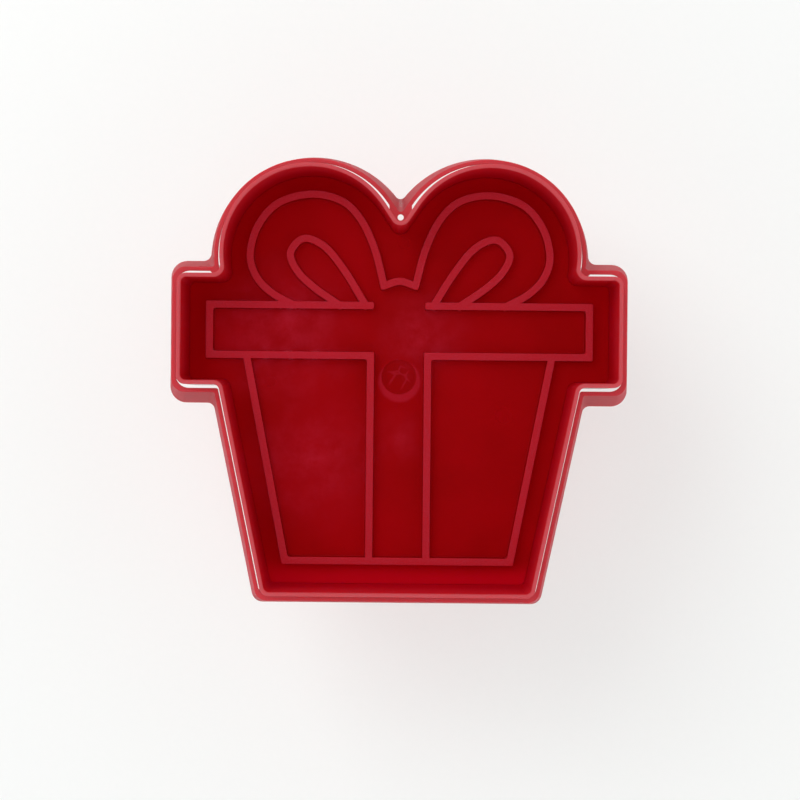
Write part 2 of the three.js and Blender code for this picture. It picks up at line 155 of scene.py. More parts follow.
def lobe_and_notch(grow, corners):
    """The lobe from the lid's top edge to the notch, with the rounded corners that join it."""
    lobe = np.array([LOBE_X, LOBE_Y])
    radius = LOBE_RADIUS + grow
    seat_y = LID_TOP + grow + corners["seat"]
    seat_x = LOBE_X + math.sqrt((radius + corners["seat"]) ** 2 - (seat_y - LOBE_Y) ** 2)
    lobe_start = math.atan2(seat_y - LOBE_Y, seat_x - LOBE_X)

    # A small notch meets the straight flanks, a wide one meets the two round lobes.
    touch = NOTCH_SLOPE + math.pi / 2
    flank_x = LOBE_X + radius * math.cos(touch)
    flank_y = LOBE_Y + radius * math.sin(touch)
    notch_y = flank_y - flank_x * math.tan(NOTCH_SLOPE) + corners["notch"] / math.cos(NOTCH_SLOPE)
    lobe_end = touch
    if corners["notch"] * math.sin(NOTCH_SLOPE) >= flank_x:
        notch_y = LOBE_Y + math.sqrt((radius + corners["notch"]) ** 2 - LOBE_X ** 2)
        touch = math.atan2(notch_y - LOBE_Y, -LOBE_X)
        lobe_end = touch - (touch - lobe_start) / LOBE_STEPS

    seat = (seat_x, seat_y)
    return [
        arc(seat, corners["seat"], 1.5 * math.pi, lobe_start + math.pi, CORNER_STEPS),
        arc(lobe, radius, lobe_start, lobe_end, LOBE_STEPS)[1:],
        arc((0, notch_y), corners["notch"], touch - math.pi, -math.pi / 2, CORNER_STEPS),
    ]


def gift_outline(grow, corners):
    """The gift box, grown outwards from the rim's outside, with the corner radii given."""
    def box_side(y):
        return BOX_HALF_WIDTH + BOX_TAPER * (y - LID_BOTTOM) + grow * math.hypot(1, BOX_TAPER)

    bottom = -HALF_HEIGHT - grow
    under_lid = LID_BOTTOM - grow
    over_lid = LID_TOP + grow
    lid_side = LID_HALF_WIDTH + grow
    path = [
        (0, bottom), (box_side(bottom), bottom), (box_side(under_lid), under_lid),
        (lid_side, under_lid), (lid_side, over_lid), (LOBE_X, over_lid),
    ]
    radii = [corners[name] for name in ("foot", "armpit", "lid", "lid")]
    right = [
        corner_arc(path[i], path[i + 1], path[i + 2], radius) for i, radius in enumerate(radii)
    ]
    right = np.concatenate(right + lobe_and_notch(grow, corners))
    left = right[-2::-1] * (-1, 1)
    return np.concatenate([right, left])


EDGE_CORNERS = {"foot": 1.6, "armpit": 1, "lid": 1.5, "seat": 1.2, "notch": 1}
SLOT_CORNERS = {"foot": 2, "armpit": 0.4, "lid": 2.2, "seat": 0.5, "notch": 0.6}
BACK_CORNERS = {"foot": 2, "armpit": 1.3, "lid": 2.9, "seat": 1.4, "notch": 1}
INNER_CORNERS = {"foot": 1, "armpit": 1.6, "lid": 0.9, "seat": 1.8, "notch": 1.7}


def inner_outline(inset):
    return gift_outline(-inset, INNER_CORNERS)


def offset(outline, distance):
    """A closed outline moved outwards by a small distance, with mitred corners."""
    ahead = np.roll(outline, -1, axis=0) - outline
    ahead /= np.hypot(*ahead.T)[:, None]
    normal = np.column_stack([ahead[:, 1], -ahead[:, 0]])
    before = np.roll(normal, 1, axis=0)
    share = 1 + (normal * before).sum(axis=1)
    return outline + distance * (normal + before) / share[:, None]


def circle(radius, steps=ROUND_STEPS):
    return arc((0, 0), radius, 0, 2 * math.pi, steps)[:-1]


def rounding(radius, steps=4):
    """(inset, drop) pairs round a quarter of a circle, from the side face to the top face."""
    angles = np.linspace(0, math.pi / 2, steps + 1)
    return [(radius * (1 - math.cos(a)), radius * (1 - math.sin(a))) for a in angles]


# ---------------------------------------------------------------- solids

def solid(points, faces):
    """A mesh object from points in millimetres."""
    mesh = bpy.data.meshes.new("solid")
    mesh.from_pydata((np.asarray(points, float) * MM).tolist(), [], faces)
    mesh.validate()
    made = bpy.data.objects.new("solid", mesh)
    bpy.context.collection.objects.link(made)
    return made


def loft(levels):
    """A closed solid through (outline, z) levels, from the lowest to the highest."""
    count = len(levels[0][0])
    points = [(x, y, z) for outline, z in levels for x, y in outline]
    faces = [list(range(count))[::-1]]
    for level in range(len(levels) - 1):
        low = level * count
        for i in range(count):
            j = (i + 1) % count
            faces.append([low + i, low + j, low + count + j, low + count + i])
    top = (len(levels) - 1) * count
    faces.append(list(range(top, top + count)))
    return solid(points, faces)


def prism(outline, bottom, top):
    return loft([(outline, bottom), (outline, top)])


def rounded_block(low_outline, high_outline, bottom, top, foot=0.0, head=0.0):
    """A loft between two outlines whose lower and upper edges are rounded with the radii given."""
    levels = []
    if foot:
        for inset, rise in reversed(rounding(foot)):
            levels.append((offset(low_outline, -inset), bottom + rise))
    else:
        levels.append((low_outline, bottom))
    if head:
        for inset, drop in rounding(head):
            levels.append((offset(high_outline, -inset), top - drop))
    else:
        levels.append((high_outline, top))
    return loft(levels)


def ring_faces(rings, steps):
    """The faces between rings of points, where the last ring joins the first."""
    faces = []
    for ring in range(rings):
        low = ring * steps
        high = (ring + 1) % rings * steps
        for i in range(steps):
            j = (i + 1) % steps
            faces.append([low + i, low + j, high + j, high + i])
    return faces


def turned(profile, steps=ROUND_STEPS):
    """A closed (radius, z) profile, counter-clockwise, turned about the plunger's axis."""
    angles = np.arange(steps) * 2 * math.pi / steps
    points = []
    for radius, z in profile:
        points += [(radius * math.cos(a), AXIS_Y + radius * math.sin(a), z) for a in angles]
    return solid(points, ring_faces(len(profile), steps))


def rounded_profile(corners, steps=4):
    """A closed profile of (radius, z, rounding) corners, with each corner rounded."""
    corners = [np.array(corner, float) for corner in corners]
    points = []
    for i, corner in enumerate(corners):
        if corner[2] == 0:
            points.append(corner[:2][None])
            continue
        before = corners[i - 1][:2]
        after = corners[(i + 1) % len(corners)][:2]
        points.append(corner_arc(before, corner[:2], after, corner[2], steps))
    return np.concatenate(points)


def rod(radius, bottom, top, centre=(0, 0), edge=0.0, steps=ROUND_STEPS):
    outline = circle(radius, steps) + centre
    return rounded_block(outline, outline, bottom, top, head=edge)


def bar(length, width, bottom, top, angle, start):
    """A straight bar from a starting point, pointing at an angle."""
    along = np.array([math.cos(angle), math.sin(angle)])
    across = np.array([-along[1], along[0]]) * width / 2
    end = start + along * length
    return prism(np.array([start - across, end - across, end + across, start + across]), bottom, top)


def combine(base, operation, *others):
    """Unites others with base, or cuts or intersects base with them, and removes them."""
    for other in others:
        modifier = base.modifiers.new(operation, "BOOLEAN")
        modifier.operation = operation
        modifier.object = other
        modifier.solver = "EXACT"
        graph = bpy.context.evaluated_depsgraph_get()
        mesh = bpy.data.meshes.new_from_object(base.evaluated_get(graph))
        base.modifiers.clear()
        upward_sheen, base.data = base.data, mesh
        bpy.data.meshes.remove(upward_sheen)
        bpy.data.objects.remove(other)
    return base


def union(base, *others):
    return combine(base, "UNION", *others)


def cut(base, *others):
    return combine(base, "DIFFERENCE", *others)


def crop(base, other):
    return combine(base, "INTERSECT", other)


def mirrored(made):
    """A copy of a solid on the other side of x = 0."""
    mesh = made.data.copy()
    points = np.array([vertex.co for vertex in mesh.vertices]) * (-1, 1, 1)
    mesh.vertices.foreach_set("co", points.ravel())
    mesh.flip_normals()
    copy = bpy.data.objects.new(made.name, mesh)
    bpy.context.collection.objects.link(copy)
    return copy


def finish_piece(made, name, body, material, node):
    """Names a finished solid, shades and paints it, ties it to its body and hides its CAD node."""
    smooth_angle = math.radians(35)
    made.name = name
    made.data.name = name
    made.data.polygons.foreach_set("use_smooth", [True] * len(made.data.polygons))
    made.data.set_sharp_from_angle(angle=smooth_angle)
    weighted = made.modifiers.new("normals", "WEIGHTED_NORMAL")
    weighted.keep_sharp = True
    made.data.materials.clear()
    made.data.materials.append(material)
    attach(made, body)
    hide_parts(node)
    return made


# ---------------------------------------------------------------- cutter body

def cutting_block():
    """The thin cutting wall, filled."""
    return rounded_block(
        gift_outline(DRAFT_OUT, EDGE_CORNERS), gift_outline(0, EDGE_CORNERS), BACK_Z, RIM_Z,
        head=THIN_EDGE,
    )


def skirt_outside():
    """The flared skirt's outer shape, filled."""
    low = gift_outline(FLARE - FLARE_MARGIN, BACK_CORNERS)
    high = gift_outline(SKIRT_TOP, SLOT_CORNERS)
    return rounded_block(low, high, BACK_Z, SKIRT_Z, foot=0.3, head=0.15)


def skirt():
    """The flared skirt round the cutting wall, with a rounded lip."""
    low = gift_outline(FLARE - SKIRT_WALL, SLOT_CORNERS)
    high = gift_outline(SLOT_WIDTH, SLOT_CORNERS)
    levels = [(low, BACK_Z - 1), (low, BACK_Z)]
    levels += [(offset(high, inset), SKIRT_Z - drop) for inset, drop in rounding(THIN_EDGE)]
    levels.append((offset(high, THIN_EDGE), SKIRT_Z + 1))
    return cut(skirt_outside(), loft(levels))


def slot_bridges():
    """Short bridges that close the slot at the notch and beside the lobes."""
    notch_width = 3.8
    notch_low = 26
    notch_length = HALF_HEIGHT - notch_low
    notch = bar(notch_length, notch_width, BACK_Z, SKIRT_Z, math.pi / 2, np.array([0, notch_low]))
    seat_length = 4
    seat_width = 1.5
    seat_middle = np.array([31.8, LID_TOP + 1.5])
    seat_start = seat_middle - seat_length / 2 * np.array([1, 1]) / math.sqrt(2)
    seat = bar(seat_length, seat_width, BACK_Z, SKIRT_Z, math.pi / 4, seat_start)
    bridges = union(notch, mirrored(seat), seat)
    return crop(bridges, skirt_outside())


def notch_hole():
    """The tool for the small slanted hole through the notch's bridge, narrower at the top."""
    low = circle(radius=0.8, steps=24) + (0, 28.75)
    high = circle(radius=0.5, steps=24) + (0, 27.35)
    return loft([(low, BACK_Z - 1), (high, SKIRT_Z + 1)])


RIB_DEGREES = (0, 48, 90, 132, 180, 238, 270, 302)


def deck_ribs():
    """Ribs under the deck, from inside the tower's wall out to the skirt."""
    thickness = 1.3
    start = TOWER_RADIUS - TOWER_WALL / 2
    past_skirt = 60
    bars = []
    for degrees in RIB_DEGREES:
        angle = math.radians(degrees)
        inner_end = np.array([math.cos(angle), math.sin(angle)]) * start + AXIS
        bars.append(bar(past_skirt, thickness, BACK_Z, RIB_Z, angle, inner_end))
    return crop(union(*bars), skirt_outside())


def cavity():
    """The space inside the cutting wall, with a rounded mouth and a rounded corner at the deck."""
    foot = 0.5
    low = inner_outline(RIM_THICKNESS + DRAFT_IN)
    high = inner_outline(RIM_THICKNESS)
    mouth_z = RIM_Z - THIN_EDGE
    levels = [(offset(low, -inset), DECK_Z + rise) for inset, rise in reversed(rounding(foot))]
    for inset, rise in reversed(rounding(THIN_EDGE)):
        levels.append((offset(high, THIN_EDGE - inset), mouth_z + rise))
    levels.append((offset(high, THIN_EDGE), RIM_Z + 1))
    return loft(levels)


def tower():
    """The tube that the spring sits in, with a rounded end."""
    inside = TOWER_RADIUS - TOWER_WALL
    top = DECK_BACK_Z + 1
    return turned(rounded_profile([
        (inside, body_low[2], 0.4), (TOWER_RADIUS, body_low[2], 0.6), (TOWER_RADIUS, top, 0),
        (inside, top, 0),
    ]))


def guide():
    """The tube that the stem slides in."""
    inside = STEM_RADIUS + GAP
    bottom = DECK_BACK_Z - GUIDE_LENGTH
    top = DECK_BACK_Z + 1
    return turned(rounded_profile([
        (inside, bottom, 0.3), (inside + GUIDE_WALL, bottom, 0.4), (inside + GUIDE_WALL, top, 0),
        (inside, top, 0),
    ]))


def cutter_body():
    under_deck = prism(inner_outline(RIM_THICKNESS + DRAFT_IN), BACK_Z - 1, DECK_BACK_Z)
    tower_space = rod(TOWER_RADIUS - TOWER_WALL, body_low[2] - 1, DECK_BACK_Z, AXIS)
    bore = rod(STEM_RADIUS + GAP, DECK_BACK_Z - GUIDE_LENGTH + 1, DECK_Z + 1, AXIS)
    made = cut(cutting_block(), under_deck)
    made = union(made, skirt(), slot_bridges(), deck_ribs())
    made = cut(made, cavity(), tower_space, notch_hole())
    made = union(made, tower(), guide())
    return cut(made, bore)


# ---------------------------------------------------------------- press plate

# Lines of the lid band, the box and the ribbon, on the right-hand side.
LID_LINE_X = 32.55
LID_LINE_TOP = 12.8
LID_LINE_BOTTOM = 4.2
LID_LINE_END = 5
RIBBON_X = 4.9
BOX_LINE_TOP_X = 26.2
BOX_LINE_BOTTOM_X = 19.3
BOX_LINE_BOTTOM = -31

BOW_LOOP = [
    (18.2, LID_LINE_TOP), (21.9, 14.8), (24.6, 17.6), (25.7, 21.4), (24.4, 26.3), (21, 30.2),
    (15.5, 31.8), (10.3, 30.8), (6.9, 27.7), (4.4, 22.6), (2.7, 16.2),
]
TEARDROP = [
    (10.3, LID_LINE_TOP), (14.4, 15.6), (17.5, 18.5), (18.8, 21.7), (16.5, 24.2), (12.9, 22.8),
    (9.4, 18.6), (5.8, LID_LINE_TOP),
]
KNOT = [(-2.7, 16.2), (0, 17), (2.7, 16.2)]


def curve_through(points, steps_each=8):
    """A smooth Catmull-Rom curve through points."""
    points = np.array(points, float)
    padded = np.concatenate([[2 * points[0] - points[1]], points, [2 * points[-1] - points[-2]]])
    made = []
    for before, start, end, after in zip(padded, padded[1:], padded[2:], padded[3:]):
        for t in np.arange(steps_each) / steps_each:
            made.append(0.5 * (
                2 * start + (end - before) * t
                + (2 * before - 5 * start + 4 * end - after) * t ** 2
                + (3 * start - before - 3 * end + after) * t ** 3
            ))
    made.append(points[-1])
    return np.array(made)


def line_outline(path):
    """The plan of a raised line along a path: constant width, rounded ends, nearly sharp bends."""
    end_radius = 0.45
    bend_radius = 0.32
    straight = 0.9  # the cosine of the largest turn that isn't rounded
    half = RIDGE_WIDTH / 2
    ahead = np.diff(path, axis=0)
    ahead /= np.hypot(*ahead.T)[:, None]
    path = np.array(path, float)
    path[0] -= ahead[0] * half
    path[-1] += ahead[-1] * half
    into = np.concatenate([ahead[:1], ahead])
    out = np.concatenate([ahead, ahead[-1:]])
    normal_in = np.column_stack([into[:, 1], -into[:, 0]])
    normal_out = np.column_stack([out[:, 1], -out[:, 0]])
    mitre = (normal_in + normal_out) / (1 + (into * out).sum(axis=1))[:, None]
    bent = (into * out).sum(axis=1) < straight
    radii = np.where(bent, bend_radius, 0.0)
    radii[[0, -1]] = end_radius
    right = np.column_stack([path + mitre * half, radii])
    left = np.column_stack([path - mitre * half, radii])[::-1]
    return rounded_profile(np.concatenate([right, left]))


def raised_line(path, lowered=0.0):
    """A raised line with a filleted foot, slightly drafted sides and a rounded top edge."""
    outline = line_outline(path)
    fillet = 0.2
    edge = 0.16
    draft = 0.05
    top = PLATE_Z + RIDGE_HEIGHT - lowered
    root = offset(outline, fillet)
    levels = [(root, PLATE_Z - 0.5), (root, PLATE_Z - 0.01)]
    levels += [(offset(outline, drop), PLATE_Z + inset) for inset, drop in rounding(fillet)[1:]]
    levels += [(offset(outline, -draft - inset), top - drop) for inset, drop in rounding(edge)]
    return loft(levels)


def plate_lines():
    """Every raised line: lid, ribbon and panels, the bow's loops and the knot.

    Lines that cross differ by a few thousandths in height, so that no two tops share a plane.
    """
    half = RIDGE_WIDTH / 2
    lid_and_ribbon = raised_line([
        (LID_LINE_END, LID_LINE_TOP), (LID_LINE_X, LID_LINE_TOP), (LID_LINE_X, LID_LINE_BOTTOM),
        (RIBBON_X, LID_LINE_BOTTOM), (RIBBON_X, BOX_LINE_BOTTOM + half),
    ])
    box = raised_line([
        (BOX_LINE_TOP_X - BOX_TAPER * half, LID_LINE_BOTTOM - half),
        (BOX_LINE_BOTTOM_X, BOX_LINE_BOTTOM), (-BOX_LINE_BOTTOM_X, BOX_LINE_BOTTOM),
        (-BOX_LINE_TOP_X + BOX_TAPER * half, LID_LINE_BOTTOM - half),
    ], lowered=0.003)
    loop = raised_line(curve_through(BOW_LOOP), lowered=0.006)
    teardrop = raised_line(curve_through(TEARDROP), lowered=0.009)
    knot = raised_line(curve_through(KNOT), lowered=0.012)
    paired = [lid_and_ribbon, loop, teardrop]
    return [box, knot, *paired, *[mirrored(line) for line in paired]]


# Shallow round marks: the sink over the boss, then the ejector pins' (centre, radius, depth).
SINK_RADIUS = 3.0
PLATE_MARKS = (
    (AXIS, SINK_RADIUS, 0.1), ((0.7, 23.6), 1.1, 0.05), ((-22.1, -0.3), 1.1, 0.05),
    ((18.1, -5.9), 1.5, 0.04),
)


def plate_mark(centre, radius, depth):
    """The tool for a shallow round mark in the plate's face, with a soft edge."""
    soft_edge = ((0.4, 0), (0.2, 0.05), (0.08, 0.2), (0, 0.6), (0, 1))
    return loft([
        (circle(radius - inset) + centre, PLATE_Z - depth + 2 * depth * rise)
        for inset, rise in soft_edge
    ])


def press_plate():
    low = inner_outline(PLATE_INSET + PLATE_DRAFT)
    boss_radius = 3.3
    plate = rounded_block(low, inner_outline(PLATE_INSET), PLATE_LOW_Z, PLATE_Z, foot=0.2, head=0.05)
    hollow = prism(inner_outline(PLATE_INSET + PLATE_SKIRT), PLATE_LOW_Z - 1, PLATE_BACK_Z)
    boss = rod(boss_radius, plate_low[2], PLATE_BACK_Z + 1, AXIS)
    hole = rod(SCREW_HOLE, plate_low[2] - 1, PLATE_BACK_Z, AXIS, steps=32)
    made = cut(union(cut(plate, hollow), boss), hole)
    marks = [plate_mark(*mark) for mark in PLATE_MARKS]
    return union(cut(made, *marks), *plate_lines())


# ---------------------------------------------------------------- plunger

def fluted_radius(angle, radius, depth):
    """The knob's edge: shallow round flutes pressed into a circle."""
    flutes = 18
    flute_share = 0.62  # of the distance from one flute to the next
    phase = np.abs(((angle * flutes / (2 * math.pi) + 0.5) % 1) - 0.5) * 2
    round_shape = np.clip(1 - (phase / flute_share) ** 2, 0, 1)
    return radius - depth * np.sqrt(round_shape)


def knob_profile(radius, top, inside):
    """The knob's section: dished face, recess for the cap, outer wall and inner collar."""
    floor = 3.2
    dish = 0.8
    dish_radius = 13.5
    recess = 7.2
    recess_z = dish + 0.8 + GAP
    hole = 3.9
    socket = STEM_RADIUS + GAP
    collar = 7
    collar_end = 8.2
    return rounded_profile([
        (hole, recess_z, 0.1), (recess, recess_z, 0.1), (recess, dish, 0.15), (dish_radius, 0, 2),
        (radius, 0, 1.4), (radius, top, 0.6), (inside, top, 0.3), (inside, floor, 0.5),
        (collar, floor, 0.3), (collar, collar_end, 0.2), (socket, collar_end, 0.2),
        (socket, floor, 0), (hole, floor, 0.1),
    ], steps=6)


def plunger_knob():
    """Cup-shaped knob with a dished face, a fluted edge and a collar for the stem inside."""
    radius = (knob_high[0] - knob_low[0]) / 2
    top = knob_high[2]
    inside = TOWER_RADIUS + 0.5
    inner_side = inside + 1
    profile = knob_profile(radius, top, inside)
    tall = 10
    bands = 12
    dense = []
    for start, end in zip(profile, np.roll(profile, -1, axis=0)):
        outer_wall = abs(end[1] - start[1]) > tall and start[0] > inner_side
        pieces = bands if outer_wall else 1
        dense += [start + (end - start) * i / pieces for i in range(pieces)]

    # The flutes fade out over a short stretch at each end.
    flute_depth = 1.1
    flute_low, flute_high, fade = 1.6, top - 0.8, 1.6
    steps = 360
    angles = np.arange(steps) * 2 * math.pi / steps
    points = []
    for ring_radius, z in dense:
        depth = flute_depth * np.clip(min(z - flute_low, flute_high - z) / fade, 0, 1)
        if ring_radius <= inner_side:
            depth = 0
        fluted = fluted_radius(angles, ring_radius, depth)
        points += list(zip(fluted * np.cos(angles), fluted * np.sin(angles) + AXIS_Y, [z] * steps))
    return solid(points, ring_faces(len(dense), steps))


def knob_cap():
    """Cap with a hollow spigot that presses into the knob's middle hole."""
    radius = (cap_high[0] - cap_low[0]) / 2
    face = cap_low[2]
    back = face + 0.8
    spigot = 3.6
    cap = turned(rounded_profile([
        (AXIS_HOLE, face, 0), (radius, face, 0.3), (radius, back, 0.15), (spigot, back, 0.1),
        (spigot, cap_high[2], 0.25), (spigot - 1, cap_high[2], 0.2), (spigot - 1, back, 0.1),
        (AXIS_HOLE, back, 0),
    ]))
    middle_radius = 0.5
    return union(cap, rod(middle_radius, face, back, AXIS))


def plunger_stem():
    """Hollow stem with a web that the screw clamps."""
    bore = 3.5
    socket = 3.6
    web_top = 27.7
    web_back = 25.7
    bottom, top = stem_low[2], stem_high[2]
    return turned(rounded_profile([
        (bore, bottom, 0.2), (STEM_RADIUS, bottom, 0.5), (STEM_RADIUS, top, 0.3), (socket, top, 0.3),
        (socket, web_top, 0.2), (SCREW_HOLE, web_top, 0.1), (SCREW_HOLE, web_back, 0.1),
        (bore, web_back, 0.3),
    ]))


def helix_tube(radius, wire, turns_z, steps_each=36, sides=12):
    """A closed tube of round wire along a helix; turns_z gives its height at each whole turn."""
    turns = len(turns_z) - 1
    count = turns * steps_each
    whole_turns = range(turns + 1)
    ahead = 0.01  # of a turn, to measure the helix's slope
    points = []
    for i in range(count + 1):
        turn = i / steps_each
        angle = turn * 2 * math.pi
        z = np.interp(turn, whole_turns, turns_z)
        climb = np.interp(turn + ahead, whole_turns, turns_z) - z
        slope = climb / (ahead * 2 * math.pi * radius)
        out = np.array([math.cos(angle), math.sin(angle), 0])
        along = unit(np.array([-math.sin(angle), math.cos(angle), slope]))
        down = np.cross(along, out)
        centre = out * radius + (*AXIS, z)
        for side_angle in np.arange(sides) * 2 * math.pi / sides:
            spoke = out * math.cos(side_angle) + down * math.sin(side_angle)
            points.append(centre + wire / 2 * spoke)
    faces = [list(range(sides)), list(range(count * sides, (count + 1) * sides))[::-1]]
    for ring in range(count):
        for side in range(sides):
            a = ring * sides + side
            b = ring * sides + (side + 1) % sides
            faces.append([a, a + sides, b + sides, b])
    return solid(points, faces)


def return_spring():
    """Compression spring with one closed coil at each end."""
    closed = SPRING_WIRE + GAP
    bottom = spring_low[2] + SPRING_WIRE / 2
    top = spring_high[2] - SPRING_WIRE / 2
    open_coils = 6
    middle = np.linspace(bottom + closed, top - closed, open_coils + 1)
    return helix_tube(SPRING_RADIUS, SPRING_WIRE, [bottom, *middle, top])


def plate_screw():
    """Pan-head self-tapping screw with a cross recess and a coarse thread. Its head is down."""
    head_radius = (screw_high[0] - screw_low[0]) / 2
    bottom, tip = screw_low[2], screw_high[2]
    head_top = bottom + 2
    core = 1.15
    middle_radius = 0.3
    made = turned(rounded_profile([
        (AXIS_HOLE, bottom, 0), (head_radius, bottom, 1.1), (head_radius, head_top, 0.2),
        (core, head_top, 0.1), (core, tip - 1.6, 0.2), (0.2, tip, 0), (AXIS_HOLE, tip, 0),
    ]))
    made = union(made, rod(middle_radius, bottom, tip - 0.1, AXIS, steps=16))
    pitch = 1.1
    thread_wire = 0.6
    thread_start = head_top + 0.4
    turns = int((tip - 2 - thread_start) / pitch)
    thread = helix_tube(core, thread_wire, thread_start + pitch * np.arange(turns + 1), sides=8)
    return cut(union(made, thread), *cross_recess(bottom))


def cross_recess(bottom):
    """The two bars that cut the screw's cross."""
    length = 2.8
    width = 0.6
    bars = []
    for angle in (0, math.pi / 2):
        start = np.array(AXIS) - length / 2 * np.array([math.cos(angle), math.sin(angle)])
        bars.append(bar(length, width, bottom - 1, bottom + 1, angle, start))
    return bars


def screw_washer():
    outside = (washer_high[0] - washer_low[0]) / 2
    return turned(rounded_profile([
        (SCREW_HOLE, washer_low[2], 0.08), (outside, washer_low[2], 0.12),
        (outside, washer_high[2], 0.08), (SCREW_HOLE, washer_high[2], 0.08),
    ]))


# ---------------------------------------------------------------- materials

# Base colours, where the plastic is deepest and clearest and where it is moulded matte, and painted
# light: a glow on the wall's upper part, a sheen on faces that lean up, and a lit lower margin on the
# plate.
CUTTER_DEEP = (0.46, 0.0, 0.008, 1)
CUTTER_CLEAR = (0.52, 0.0, 0.014, 1)
CUTTER_RIM = (0.5, 0.075, 0.09, 1)
CUTTER_LIT = (0.66, 0.02, 0.035, 1)
CUTTER_SHEEN = (0.5, 0.085, 0.1, 1)
PLATE_DEEP = (0.26, 0.0, 0.001, 1)
PLATE_CLEAR = (0.31, 0.0, 0.002, 1)
PLATE_LINES = (0.42, 0.016, 0.03, 1)
PLATE_EDGE_LIGHT = (0.41, 0.0, 0.006, 1)
PLATE_SINK = (0.2, 0.0, 0.0, 1)
PLATE_BLOOM = (0.42, 0.012, 0.03, 1)
KNOB_DEEP = (0.38, 0.0, 0.004, 1)
KNOB_CLEAR = (0.43, 0.0, 0.006, 1)
SCREW_STEEL = (0.62, 0.62, 0.6, 1)
SPRING_STEEL = (0.6, 0.61, 0.62, 1)
BOARD = (0.88, 0.88, 0.875, 1)
BOARD_TOOTH = (0.9, 0.9, 0.895, 1)
ROOM = (0.72, 0.735, 0.73, 1)

# Noise frequencies, in waves for each millimetre.
CLOUDS = 0.05
BLOOM = 0.25
SCUFFS = 0.35
GRAIN = 4
BRUSHING = 1.2
TOOTH = 0.8

GLOSS_ROUGHNESS = 0.17
SKIRT_ROUGHNESS = 0.6
PLASTIC_IOR = 1.49


def smooth_step(tree, value, low, high, start, end):
    """The smooth step of a socket's value from low to high, given as start to end."""
    node = tree.nodes.new("ShaderNodeMapRange")
    node.interpolation_type = "SMOOTHSTEP"
    tree.links.new(value, node.inputs["Value"])
    limits = {"From Min": low, "From Max": high, "To Min": start, "To Max": end}
    for name, limit in limits.items():
        node.inputs[name].default_value = limit
    return node.outputs["Result"]


class Nodes:
    """Short calls for the nodes of one material. Lengths in its coordinates are millimetres."""

    def __init__(self, name):
        self.material = bpy.data.materials.new(name)
        self.material.use_nodes = True
        self.colour = None
        self.roughness = None
        self.tree = self.material.node_tree
        self.shader = self.tree.nodes["Principled BSDF"]
        metres = self.add("ShaderNodeTexCoord").outputs["Object"]
        millimetres = self.add("ShaderNodeMapping", Vector=metres)
        millimetres.inputs["Scale"].default_value = (1 / MM,) * 3
        self.place = millimetres.outputs["Vector"]

    def put(self, socket, value):
        """Links a socket to another one, or gives it a constant value."""
        if isinstance(value, bpy.types.NodeSocket):
            self.tree.links.new(value, socket)
        else:
            socket.default_value = value

    def add(self, kind, **inputs):
        """A new node; each keyword is one of its inputs."""
        node = self.tree.nodes.new(kind)
        for name, value in inputs.items():
            self.put(node.inputs[name], value)
        return node

    def maths(self, operation, a, b, add=0.0):
        """An operation on two values, with a third one added by MULTIPLY_ADD."""
        node = self.tree.nodes.new("ShaderNodeMath")
        node.operation = operation
        for socket, value in zip(node.inputs, (a, b, add)):
            self.put(socket, value)
        return node.outputs[0]

    def noise(self, frequency, detail, roughness=0.5, stretch=(1, 1, 1)):
        """Grey noise, with its frequency in waves for each millimetre."""
        stretched = self.add("ShaderNodeMapping", Vector=self.place)
        stretched.inputs["Scale"].default_value = stretch
        place = stretched.outputs["Vector"]
        node = self.add("ShaderNodeTexNoise", Vector=place, Scale=frequency)
        node.inputs["Detail"].default_value = detail
        node.inputs["Roughness"].default_value = roughness
        return node.outputs["Fac"]

    def ramp(self, value, low, high, start=0.0, end=1.0):
        """A smooth step of value from low to high, given as start to end."""
        return smooth_step(self.tree, value, low, high, start, end)

    def mix(self, factor, a, b):
        """A blend of two colours."""
        node = self.tree.nodes.new("ShaderNodeMix")
        node.data_type = "RGBA"
        colour_a, colour_b = [socket for socket in node.inputs if socket.type == "RGBA"]
        self.put(node.inputs["Factor"], factor)
        self.put(colour_a, a)
        self.put(colour_b, b)
        return next(socket for socket in node.outputs if socket.type == "RGBA")

    def blend(self, factor, a, b):
        """A blend of two numbers."""
        node = self.tree.nodes.new("ShaderNodeMix")
        self.put(node.inputs["Factor"], factor)
        self.put(node.inputs["A"], a)
        self.put(node.inputs["B"], b)
        return node.outputs["Result"]

    def along(self, axis):
        """The place along an axis, in millimetres."""
        return self.add("ShaderNodeSeparateXYZ", Vector=self.place).outputs[axis]

    def slope(self):
        """How far a face leans upwards: 0 on walls, 1 on level faces."""
        normal = self.add("ShaderNodeNewGeometry").outputs["Normal"]
        return self.add("ShaderNodeSeparateXYZ", Vector=normal).outputs["Z"]

    def spot(self, centre, radius, softness):
        """1 inside a round spot in plan, 0 outside it."""
        flat = self.add("ShaderNodeMapping", Vector=self.place)
        flat.inputs["Location"].default_value = (-centre[0], -centre[1], 0)
        flat.inputs["Scale"].default_value = (1, 1, 0)
        distance = self.tree.nodes.new("ShaderNodeVectorMath")
        distance.operation = "LENGTH"
        self.put(distance.inputs[0], flat.outputs["Vector"])
        return self.ramp(distance.outputs["Value"], radius + softness, radius - softness)

    def bump(self, height, strength, depth):
        """Bumped normals, with the depth in millimetres."""
        node = self.add("ShaderNodeBump", Height=height, Strength=strength)
        node.inputs["Distance"].default_value = depth * MM
        return node.outputs["Normal"]


